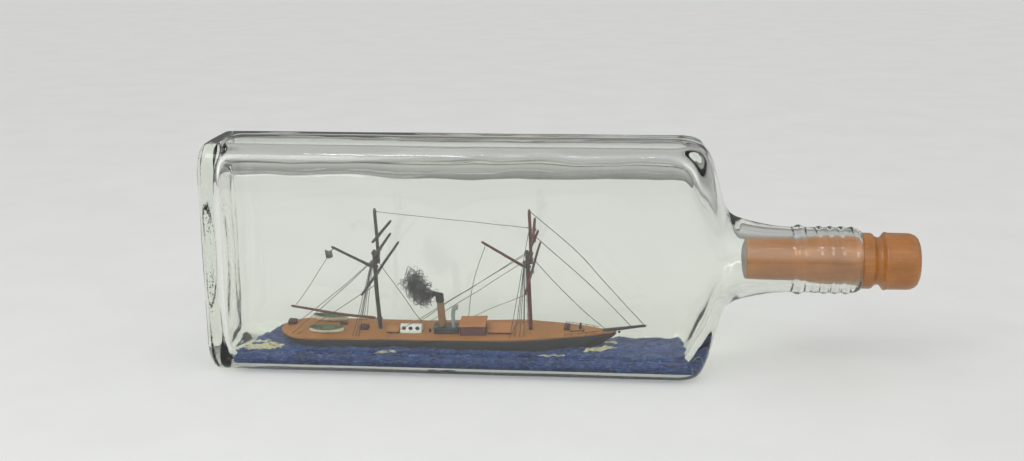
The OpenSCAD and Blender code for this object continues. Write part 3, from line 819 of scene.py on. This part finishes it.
def make_deck():
    """The deck board, with a rounded edge that stands a hair proud of the hull."""
    xs = [HULL_LENGTH * (1 - math.cos(math.pi * i / 150)) / 2 for i in range(151)]
    shape = Shape(SHIP)
    profile = ((0.9, -DECK_THICK), (1.0, -DECK_THICK + 0.12), (1.02, -0.4), (1.0, -0.12), (0.985, -0.03))
    rings = []
    for x in xs:
        width = max(0.04, half_beam(x))
        ring = [(x, -width + (1 - k) * 1.2, z) for k, z in profile]
        ring += [(x, (2 * j / 12 - 1) * width * 0.97, 0.05 * noise_at(x * 0.15, j * 0.6, 1))
                 for j in range(1, 12)]
        ring += [(x, width - (1 - k) * 1.2, z) for k, z in reversed(profile)]
        rings.append(ring)
    shape.shell(rings)
    piece = add_piece("deck_board", shape.mesh("deck"), [M["deck"]], "deck")
    piece.data.set_sharp_from_angle(angle=math.radians(45))


def blunt(t, ends=9):
    """Rounds both ends of a stick: 1 along it and less in its first and last few percent."""
    return min(1, 0.68 + ends * t, 0.68 + ends * (1 - t))


def stick(name, node, material, taper):
    """Whittled sticks in place of a node's straight rods: a little uneven, with rounded ends."""
    shape = Shape()
    for part in loose_parts(node):
        a, b, radius = rod_axis(part)
        if a.z > b.z:
            a, b = b, a
        points = between(a, b, max(8, round((b - a).length / 1.2)))
        bend = [p + noise.noise_vector(p * 0.06) * 0.12 * radius for p in points]
        shape.tube(bend, lambda t, r=radius: 1.14 * r * (1 - taper * t) * blunt(t), 14, 0.06)
    add_piece(name, shape.mesh(name), [material], node)


def lashing(shape, middle, along, radius, turns=4, thread=0.13, second=None):
    """Thread wound round a stick at middle, or round two when second gives the way to the other stick."""
    along = along.normalized()
    side = second.normalized() if second else along.orthogonal().normalized()
    side = (side - along * side.dot(along)).normalized()
    other = along.cross(side)
    reach = second.length if second else 0
    points = []
    steps = turns * 20
    for i in range(steps + 1):
        a = 2 * math.pi * i / 20
        shift = (i / steps - 0.5) * turns * thread * 1.8
        around = math.cos(a) * side + math.sin(a) * other
        stretch = side * (reach if math.cos(a) > 0 else 0)
        points.append(middle + along * shift + around * (radius + thread * 0.8) + stretch)
    shape.tube(points, thread, 5)


def ship(x, y, z):
    return SHIP @ Vector((x, y, z))


UP = (SHIP.to_3x3() @ Vector((0, 0, 1))).normalized()


def make_masts():
    for name, node, material in (("whittled_main_lower_mast", "main_lower_mast", M["mast"]),
                                 ("whittled_main_topmast", "main_topmast", M["mast"]),
                                 ("whittled_fore_lower_mast", "fore_lower_mast", M["foremast"]),
                                 ("whittled_fore_topmast", "fore_topmast", M["foremast"])):
        stick(name, node, material, 0.06)
    carved("mast_caps", M["mast"], 0.12, 0.0)
    shape = Shape()
    for node in ("main_lower_mast", "fore_lower_mast"):
        low, high, radius = rod_axis(loose_parts(node)[0])
        if low.z > high.z:
            low, high = high, low
        forward = (SHIP.to_3x3() @ Vector((1, 0, 0))).normalized() * 1.4
        for height, turns in ((31.5, 3), (33.8, 2)):
            lashing(shape, low + UP * height, UP, radius, turns, 0.09, forward)
        for height in (0.3, 27.4):
            lashing(shape, low + UP * height, UP, radius, 2, 0.1)
    add_piece("mast_lashings", shape.mesh("mast_lashings"), [M["thread"]], "mast_caps", hide=False)


# Each yard's wood and its radius
YARDS = {"main_long_yard": ("yard", 0.6), "main_middle_yard": ("yard", 0.6),
         "main_upper_yard": ("yard", 0.6), "fore_long_yard": ("foremast", 0.53),
         "fore_middle_yard": ("foremast", 0.6), "fore_upper_yard": ("foremast", 0.6)}


def make_yards():
    """Each yard tapers from its pin to both ends, with a turn of thread by the pin."""
    joints = {joint["child"]: joint for joint in frame["joints"]}
    for node, (look, thick) in YARDS.items():
        part = max(loose_parts(node), key=len)
        a, b, _ = rod_axis(part)
        pin = Vector(joints[node]["pos_m"]) / MM
        share = (pin - a).dot(b - a) / (b - a).length_squared
        shape = Shape()
        points = between(a, b, round((b - a).length / 1.0))
        shape.tube(points, lambda t: thick * (1 - 0.2 * abs(t - share)) * blunt(t), 12, 0.05)
        add_piece("whittled_" + node, shape.mesh(node), [M[look]], node)
        wrap = Shape()
        for gap in (-0.75, 0.75):
            lashing(wrap, a.lerp(b, share) + (b - a).normalized() * gap, b - a, thick - 0.08, 2, 0.1)
        add_piece(node + "_lashing", wrap.mesh(node + "_lashing"), [M["thread"]], node, hide=False)
    carved("yard_pins", M["pin"], 0.03, 0.0)


def make_ringed_spars():
    """Gaffs and boom: a tapered stick whose inner end wears a loop of thread round the mast."""
    spars = {"main_gaff": (MAIN_X, 28.2, (24.5, 37.6), "yard"),
             "main_boom": (MAIN_X, 4.7, (4.8, 10.6), "foremast"),
             "fore_gaff": (FORE_X, 28.3, (87.0, 39.5), "foremast")}
    for node, (mast_x, ring_z, (end_x, end_z), look) in spars.items():
        inner, outer = ship(mast_x - 1.65, 0, ring_z + 0.5), ship(end_x, 0, end_z)
        shape = Shape()
        bow = 0.5 if node == "main_boom" else 0.0
        points = between(inner, outer, round((outer - inner).length), bow)
        shape.tube(points, lambda t: 0.62 * (1 - 0.14 * t) * blunt(t, 14), 12, 0.06)
        hoop = []
        for i in range(4 * 24 + 1):
            a = 2 * math.pi * i / 24
            hoop.append(ship(mast_x + 1.2 * math.cos(a), 1.2 * math.sin(a), ring_z + 0.12 + 0.56 * i / 96))
        shape.tube(hoop, 0.16, 6, mark=1)
        add_piece("whittled_" + node, shape.mesh(node), [M[look], M["thread"]], node)


def make_bowsprit():
    shape = Shape(SHIP)
    root, tip = Vector((135.4, 0, 0.1)), Vector((153.6, 0, 2.5))
    shape.tube(between(root, tip, 20), lambda t: 0.85 * (1 - 0.35 * t) * blunt(t), 12, 0.08)
    add_piece("whittled_bowsprit", shape.mesh("bowsprit"), [M["black"]], "bowsprit")
    bead_shape = Shape(SHIP)
    rings = []
    for i in range(1, 12):
        a = math.pi * i / 12
        rings.append([(142.3 + 0.58 * math.sin(a) * math.cos(b), 0.58 * math.sin(a) * math.sin(b) * 0.94,
                       -0.65 + 0.6 * math.cos(a)) for b in round_angles(16)])
    bead_shape.shell(rings)
    add_piece("glued_bead", bead_shape.mesh("bead"), [M["black"]], "bowsprit_bead")


# Where the fore gaff's vang is fixed, on the deckhouse and under the gaff's end
VANG_FOOT, VANG_HEAD = (79.6, 2.2, 5.0), (88.4, 0, 37.65)


def make_rigging():
    """Straight threads lie on the CAD's, with a knot at both ends. Bent ones follow a few points."""
    rng = random.Random(7)
    looks = {"triatic_stay": "pale_thread", "mainstay": "thread", "main_shrouds": "thread",
             "fore_shrouds": "thread", "backstays": "thread", "braces": "pale_thread",
             "topping_lift": "pale_thread"}
    for node, look in looks.items():
        shape = Shape()
        for part in loose_parts(node):
            a, b, radius = rod_axis(part)
            points = between(a, b, 14, 0.25 * rng.random())
            shape.tube(points, radius * 1.15, 6, 0.15)
            for end, inward in ((a, b), (b, a)):
                knot = [end.lerp(inward, k * 0.12 / (b - a).length) for k in range(5)]
                shape.tube(knot, lambda t, r=radius: r * (1.1 + 1.5 * math.sin(math.pi * t)), 6)
        add_piece(node + "_thread", shape.mesh(node), [M[look]], node)
    bent = {"headstays": ("thread", [[(107.6, 0, 52.4), (124.4, 0, 36.8), (137, 0, 21.8), (152.6, 0, 3.1)],
                                     [(107.3, -0.45, 44.1), (130.2, -0.2, 21.4), (147.2, 0, 2.3)],
                                     [(107.6, 0, 32.6), (121.5, 0, 16), (136.6, 0, 0.6)]]),
            "fore_vang": ("pale_thread", [[VANG_HEAD, (83.6, 0.8, 24.6), (81, 1.6, 14), VANG_FOOT]])}
    for node, (look, runs) in bent.items():
        shape = Shape(SHIP)
        for run in runs:
            shape.tube(rounded([Vector(p) for p in run]), 0.15, 6, 0.15)
        crosses_joint = node == "fore_vang"
        piece = add_piece(node + "_thread", shape.mesh(node), [M[look]], node, ride=not crosses_joint)
        if crosses_joint:
            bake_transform(piece)


def rounded(points, steps=8):
    """A smooth curve through a few points."""
    out = []
    last = len(points) - 1
    for i in range(last):
        before, a, b, after = points[max(0, i - 1)], points[i], points[i + 1], points[min(last, i + 2)]
        for k in range(steps):
            t = k / steps
            out.append(0.5 * (2 * a + (b - before) * t + (2 * before - 5 * a + 4 * b - after) * t ** 2
                              + (3 * a - before - 3 * b + after) * t ** 3))
    return out + [points[-1]]


def make_smoke():
    """A tuft of dark wool: thin curled fibres, dense in the middle and drawn out to the funnel's mouth."""
    rng = random.Random(21)
    shape = Shape(SHIP)
    core_a, core_b = Vector((58.2, -1.9, 23.4)), Vector((61.6, -1.9, 15.8))
    core = core_b - core_a
    mouth = Vector((68.6, -1.9, 16.9))

    def scatter(x, y, z):
        return Vector((rng.gauss(0, x), rng.gauss(0, y), rng.gauss(0, z)))

    def fibre(start, heading, length, curl, thick, reach=3.7):
        p, d = start.copy(), heading.normalized()
        axis = scatter(1, 1, 1).normalized()
        steps = max(7, round(length / 0.8))
        points = [p.copy()]
        for _ in range(steps):
            d = (Matrix.Rotation(curl * length / steps, 3, axis) @ d).normalized()
            axis = (axis + 0.25 * scatter(1, 1, 1)).normalized()
            share = (p - core_a).dot(core) / core.length_squared
            centre = core_a.lerp(core_b, min(1, max(0, share)))
            away = p - centre
            if away.length > reach:
                d = (d - 0.45 * away.normalized()).normalized()
            p = p + d * length / steps
            points.append(p.copy())
        shape.tube(points, thick, 3)

    for _ in range(230):
        centre = core_a.lerp(core_b, rng.random())
        spread = 2.6 if rng.random() < 0.75 else 3.6
        start = centre + scatter(0.62 * spread, 0.5 * spread, 0.62 * spread)
        heading = scatter(1, 1, 1)
        stray = rng.choice((3.1, 3.6, 4.2, 5.2))
        fibre(start, heading, rng.uniform(7, 16), rng.uniform(0.3, 0.8), rng.uniform(0.07, 0.14), stray)
    for _ in range(60):
        start = mouth + scatter(0.4, 0.4, 0.25)
        heading = Vector((-1, rng.gauss(0, 0.25), 0.45 + rng.gauss(0, 0.5)))
        fibre(start, heading, rng.uniform(5, 10), rng.uniform(0.1, 0.35), 0.08)
    add_piece("wool_smoke", shape.mesh("smoke"), [M["smoke"]], "smoke")


def make_funnel():
    foot, top = Vector((69.4, -1.9, 3.0)), Vector((68.8, -1.9, 13.8))
    shape = Shape(SHIP)
    shape.tube(between(foot, top, 14), lambda t: 1.62 - 0.1 * t, 26, 0.03)
    add_piece("rolled_funnel", shape.mesh("funnel"), [M["funnel"]], "funnel")
    direction = (top - foot).normalized()
    side, other = Vector((1, 0, 0)), Vector((0, 1, 0))
    rings = []
    for height, radius in ((0, 1.66), (0.1, 1.74), (0.4, 1.76), (2.8, 1.7), (3.1, 1.68), (3.2, 1.6),
                           (3.15, 1.4), (2.9, 1.34), (1.2, 1.3), (1.1, 0.2)):
        centre = top + direction * height
        rings.append([centre + (side * math.cos(a) + other * math.sin(a)) * radius
                      * (1 + 0.03 * noise_at(a, height, 2)) for a in round_angles(28)])
    cap = Shape(SHIP)
    cap.shell(rings)
    add_piece("funnel_cap_band", cap.mesh("funnel_cap"), [M["black"]], "funnel_cap")


def make_ventilator():
    """A bent tube with a cowl that opens towards the bow."""
    shape = Shape(SHIP)
    x, y = 74.3, -3.5
    bends = ((0, 3.0), (-0.15, 6.0), (-0.1, 9.0), (0.25, 11.0), (1.1, 12.0), (1.9, 11.9))
    path = rounded([Vector((x + ahead, y, z)) for ahead, z in bends], 6)
    shape.tube(path, lambda t: 0.78 + 0.1 * smooth((t - 0.5) / 0.2) + 0.35 * smooth((t - 0.8) / 0.2),
               18, 0.03)
    shape.tube([Vector((x + 1.88, y, 11.9)), Vector((x + 1.99, y, 11.88))], 0.92, 18, mark=1)
    add_piece("bent_ventilator", shape.mesh("ventilator"), [M["vent"], M["black"]], "ventilator")


def make_boat(name, node, x0, y0, turned):
    """A carved ship's boat: round bilge, raised ends, a gunwale and a hollow inside."""
    length, width, height = 15.0, 4.7, 2.9
    shape = Shape(SHIP @ Matrix.Translation((x0, y0, 0)))
    n = 28
    outer, inner = [], []
    for i in range(n + 1):
        t = 2 * i / n - 1
        half = width / 2 * max(0.02, 1 - abs(t) ** 2.4)
        sheer = height + 0.35 * t * t
        keel = 0.06 + 0.9 * abs(t) ** 5
        skin = [(t * length / 2, side * half * math.sin(math.pi / 2 * k) ** 0.7,
                 keel + (sheer - keel) * (1 - math.cos(math.pi / 2 * k)) ** 0.8)
                for side, steps in ((-1, (1, 0.86, 0.7, 0.5, 0.3, 0.12)), (1, (0.12, 0.3, 0.5, 0.7, 0.86, 1)))
                for k in steps]
        outer.append(skin)
        inner.append([(0.93 * px, 0.84 * py, 1.15 + (pz - keel) * (sheer - 1.2) / (sheer - keel))
                      for px, py, pz in skin])
    count = len(outer[0])
    first = len(shape.verts)
    shape.verts += [shape.place @ Vector(p) * MM for ring in outer + inner for p in ring]
    inside = first + (n + 1) * count
    for i in range(n):
        for k in range(count - 1):
            a, b = first + i * count + k, first + (i + 1) * count + k
            low = 1 <= k <= count - 3
            shape.faces.append((a, a + 1, b + 1, b))
            shape.marks.append(1 if low or turned else 0)
            a, b = inside + i * count + k, inside + (i + 1) * count + k
            shape.faces.append((a, b, b + 1, a + 1))
            shape.marks.append(0)
        for k in (0, count - 1):
            a, b = first + i * count + k, first + (i + 1) * count + k
            c, d = inside + i * count + k, inside + (i + 1) * count + k
            shape.faces.append((a, b, d, c) if k == 0 else (a, c, d, b))
            shape.marks.append(0)
    for start, inner_start in ((first, inside), (first + n * count, inside + n * count)):
        for k in range(count - 1):
            shape.faces.append((start + k, start + k + 1, inner_start + k + 1, inner_start + k))
            shape.marks.append(0)
    rail = [(outer[i][0][0], -abs(outer[i][0][1]), outer[i][0][2]) for i in range(n + 1)]
    for side in (1, -1):
        shape.tube([(px, side * py, pz) for px, py, pz in rail], 0.16, 6)
    add_piece(name, shape.mesh(name), [M["boat_green"], M["boat_cream"]], node)


def make_bow_gear():
    """Windlass drum with its cheeks, and an anchor of bent wire."""
    shape = Shape(SHIP)
    shape.tube(between(Vector((126.4, 0.3, 1)), Vector((126.4, 3.8, 1)), 12),
               lambda t: 0.34 + 0.22 * abs(math.cos(3 * math.pi * t)), 14, 0.03)
    for y in (0.8, 3.3):
        shape.tube(between(Vector((126.3, y, 0.02)), Vector((126.5, y, 2.1)), 6), 0.2, 8, 0.1)
    add_piece("windlass_drum", shape.mesh("windlass"), [M["black"]], "windlass")
    hook = Shape(SHIP)
    hook.tube(between(Vector((122.6, -1.8, 0.24)), Vector((127.6, -1.2, 0.24)), 10), 0.18, 8, 0.1)
    arms = [Vector((127.5 + 0.5 * math.cos(a), -1.25 + 1.2 * math.sin(a), 0.3 + 0.25 * abs(math.sin(a))))
            for a in (math.radians(d) for d in range(-100, 101, 20))]
    hook.tube(arms, lambda t: 0.12 + 0.1 * math.sin(math.pi * t), 8)
    ring = [Vector((122.4 + 0.45 * math.cos(a), -1.85 + 0.45 * math.sin(a), 0.26)) for a in
            (2 * math.pi * k / 16 for k in range(17))]
    hook.tube(ring, 0.09, 6)
    hook.tube(between(Vector((122.9, -2.6, 0.26)), Vector((122.7, -1.0, 0.26)), 6), 0.13, 8)
    add_piece("wire_anchor", hook.mesh("anchor"), [M["black"]], "anchor")
    rail = Shape(SHIP)
    for side in (-1, 1):
        run = [Vector((x, side * (half_beam(x) - 0.5), 0.8)) for x in range(120, 135)]
        rail.tube(run, 0.11, 6)
        for p in run[::3]:
            rail.tube([p - Vector((0, 0, 0.82)), p - Vector((0, 0, 0.4)), p], 0.13, 6)
    add_piece("bow_rail_wire", rail.mesh("bow_rail"), [M["black"]], "bow_rail")
    post = Shape(SHIP)
    outline = ((0, 0.44), (0.2, 0.38), (0.8, 0.36), (0.95, 0.52), (1.2, 0.56), (1.42, 0.42), (1.5, 0.15))
    rings = [[(63.8 + r * math.cos(a), -2.4 + r * math.sin(a), z) for a in round_angles(16)]
             for z, r in outline]
    post.shell(rings)
    add_piece("turned_bollard", post.mesh("bollard"), [M["black"]], "bollard")


def make_flag():
    """A scrap of folded paper with a wave in it."""
    shape = Shape(SHIP)
    rings = []
    for i in range(15):
        t = i / 14
        fold = 0.4 * noise_at(9 * t, 4, 1)
        x, top = 21.7 + 2.9 * t, 36.4 - 0.5 * math.sin(3 * t) + fold
        y = -0.38 + 0.25 * math.sin(6.5 * t)
        tall = 3.9 - 0.9 * t + 2 * fold
        edge = [(-0.07, 0), (-0.12, 0.5), (0.0, 1), (0.12, 1), (0.05, 0.5), (0.07, 0)]
        rings.append([(x + 0.25 * down, y + side, top - tall * down) for side, down in edge])
    shape.shell(rings)
    add_piece("paper_flag", shape.mesh("flag"), [M["flag"]], "flag")


def make_portholes():
    """Round black lights on the skylight's slope, each with a raised rim."""
    shape = Shape(SHIP)
    slope = math.atan2(3.1 - 0.9, 4.4 - 2.4)
    outward = Vector((0, -math.sin(slope), math.cos(slope)))
    uphill = Vector((0, math.cos(slope), math.sin(slope)))
    for x in (53.2, 56, 58.8):
        rings = []
        for radius, height in ((0.86, 0.0), (0.86, 0.3), (0.8, 0.38), (0.7, 0.38), (0.64, 0.28), (0.3, 0.26)):
            rings.append([Vector((x, -3.4, 2)) + outward * height
                          + radius * (math.cos(a) * Vector((1, 0, 0)) + math.sin(a) * uphill)
                          for a in round_angles(24)])
        shape.shell(rings)
    add_piece("porthole_rims", shape.mesh("portholes"), [M["black"]], "portholes")


make_hull()
make_deck()
make_masts()
make_yards()
make_ringed_spars()
make_bowsprit()
make_rigging()
make_smoke()
make_funnel()
make_ventilator()
make_boat("carved_near_boat", "near_lifeboat", 20.6, -5.4, False)
make_boat("carved_far_boat", "far_lifeboat", 19.8, 6.9, True)
make_bow_gear()
make_flag()
make_portholes()
CARVED = {"funnel_casing": "casing", "casing_lid": "casing", "deckhouse_walls": "house",
          "deckhouse_roof": "roof", "main_hatch_coaming": "coaming", "main_hatch_lid": "roof",
          "fore_hatch_coaming": "coaming", "fore_hatch_lid": "roof", "small_hatches": "coaming",
          "stern_locker": "coaming", "skylight": "skylight", "boat_thwarts": "thwart"}
for carved_node, look in CARVED.items():
    carved(carved_node, M[look], 0.2, 0.05)

# ---------------------------------------------------------------- floor and light


FLOOR_HALF_WIDTH = 12000


def make_stage():
    """The floor lies a hair below the bottle."""
    shape = Shape()
    shape.shell([[(-FLOOR_HALF_WIDTH, y, -0.02), (FLOOR_HALF_WIDTH, y, -0.02)]
                 for y in (-1500, -400, 0, 400, 1500, 4000)],
                closed=False, cap_start=False, cap_end=False)
    floor = bpy.data.objects.new("floor", shape.mesh("floor"))
    s = Shader("floor")
    tone = s.ramp(s.noise(0.02, 3), (0.3, linear(228, 229, 228)), (0.7, linear(232, 233, 232)))
    floor.data.materials.append(s.finish(tone, Roughness=0.75))
    bpy.context.scene.collection.objects.link(floor)


def area_light(name, at, aim, size, power, color=(1, 1, 1)):
    data = bpy.data.lights.new(name, "AREA")
    data.shape = "RECTANGLE"
    data.size, data.size_y = size
    data.energy = power
    data.color = color
    light = bpy.data.objects.new(name, data)
    light.location = at
    light.rotation_euler = (Vector(aim) - Vector(at)).to_track_quat("-Z", "Y").to_euler()
    bpy.context.scene.collection.objects.link(light)


def make_light():
    world = bpy.data.worlds.new("studio")
    bpy.context.scene.world = world
    world.use_nodes = True
    tree = world.node_tree
    coords = tree.nodes.new("ShaderNodeTexCoord")
    height = tree.nodes.new("ShaderNodeSeparateXYZ")
    ramp = tree.nodes.new("ShaderNodeValToRGB")
    sky = ((0.0, 0.3), (0.12, 0.55), (0.42, 1.1), (0.8, 1.0), (1.0, 0.45))
    while len(ramp.color_ramp.elements) < len(sky):
        ramp.color_ramp.elements.new(0.5)
    for element, (place, light) in zip(ramp.color_ramp.elements, sky):
        element.position = place
        element.color = (light, light, 0.99 * light, 1)
    tree.links.new(coords.outputs["Generated"], height.inputs[0])
    tree.links.new(height.outputs["Z"], ramp.inputs["Fac"])
    front = tree.nodes.new("ShaderNodeMapRange")
    set_inputs(front, {"From Min": -0.35, "From Max": 0.75, "To Min": 1.15, "To Max": 0.4})
    tree.links.new(height.outputs["Y"], front.inputs["Value"])
    shade = tree.nodes.new("ShaderNodeVectorMath")
    shade.operation = "SCALE"
    tree.links.new(ramp.outputs["Color"], shade.inputs[0])
    tree.links.new(front.outputs["Result"], shade.inputs["Scale"])
    tree.links.new(shade.outputs[0], tree.nodes["Background"].inputs["Color"])
    tree.nodes["Background"].inputs["Strength"].default_value = 1.08
    area_light("key", (-0.35, -0.60, 0.55), (-0.02, 0, 0.03), (0.3, 0.25), 0.8, (1, 0.985, 0.95))
    area_light("long_glint", (-0.06, -0.29, 0.50), (-0.06, -0.02, 0.09), (0.34, 0.006), 0.16)
    area_light("short_glint", (-0.16, -0.325, 0.49), (-0.06, -0.02, 0.09), (0.12, 0.012), 0.12)


make_stage()
make_light()

bpy.context.view_layer.update()
